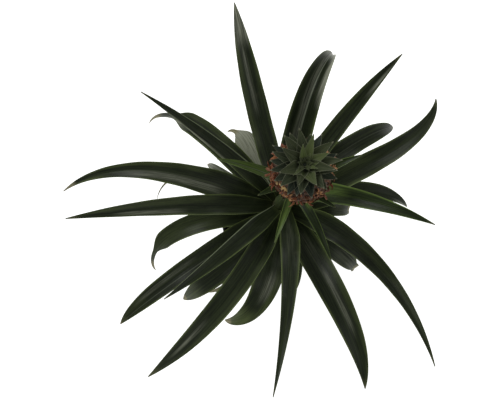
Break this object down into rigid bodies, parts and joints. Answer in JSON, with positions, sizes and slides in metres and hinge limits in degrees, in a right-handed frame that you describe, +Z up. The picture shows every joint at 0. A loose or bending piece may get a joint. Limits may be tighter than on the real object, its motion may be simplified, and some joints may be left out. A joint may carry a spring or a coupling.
{
  "type": "potted pineapple plant",
  "caption": "Young pineapple plant in a round nursery pot, with long arching pointed leaves, a stalk with one small fruit and the fruit's leafy crown.",
  "frame": {"origin": "middle of the pot's flat underside", "axes": "+Z up along the pot's axis, +X to the right of the picture, +Y towards the picture's upper edge"},
  "size_m": [0.4445, 0.4292, 0.4707],
  "materials": {
    "pot_plastic": "moulded black plastic with a slight sheen",
    "potting_soil": "loose, fibrous, dull",
    "stem": "fibrous green stalk, dull",
    "leaf": "leathery dark green with lighter margins and a grey bloom",
    "stalk_leaf": "leathery mid green with paler margins",
    "fruit_skin": "rough scaly skin with dry red-brown flower remains",
    "crown_leaf": "leathery grey green, brighter towards the middle"
  },
  "bodies": {
    "root": {"crown": "crown_leaf", "fruit": "fruit_skin", "leaf_low_01": "leaf", "leaf_low_02": "leaf", "leaf_low_03": "leaf", "leaf_low_04": "leaf", "leaf_low_05": "leaf", "leaf_low_06": "leaf", "leaf_low_07": "leaf", "leaf_low_08": "leaf", "leaf_low_09": "leaf", "leaf_low_10": "leaf", "leaf_low_11": "leaf", "leaf_low_12": "leaf", "leaf_mid_01": "leaf", "leaf_mid_02": "leaf", "leaf_mid_03": "leaf", "leaf_mid_04": "leaf", "leaf_mid_05": "leaf", "leaf_mid_06": "leaf", "leaf_top_01": "leaf", "leaf_top_02": "leaf", "leaf_top_03": "leaf", "leaf_top_04": "leaf", "leaf_top_05": "leaf", "leaf_top_06": "leaf", "leaf_top_07": "leaf", "leaf_top_08": "leaf", "pot": "pot_plastic", "soil": "potting_soil", "stalk_leaf_01": "stalk_leaf", "stalk_leaf_02": "stalk_leaf", "stalk_leaf_03": "stalk_leaf", "stalk_leaf_04": "stalk_leaf", "stalk_leaf_05": "stalk_leaf", "stalk_leaf_06": "stalk_leaf", "stalk_leaf_07": "stalk_leaf", "stalk_leaf_08": "stalk_leaf", "stem": "stem"}
  },
  "joints": []
}
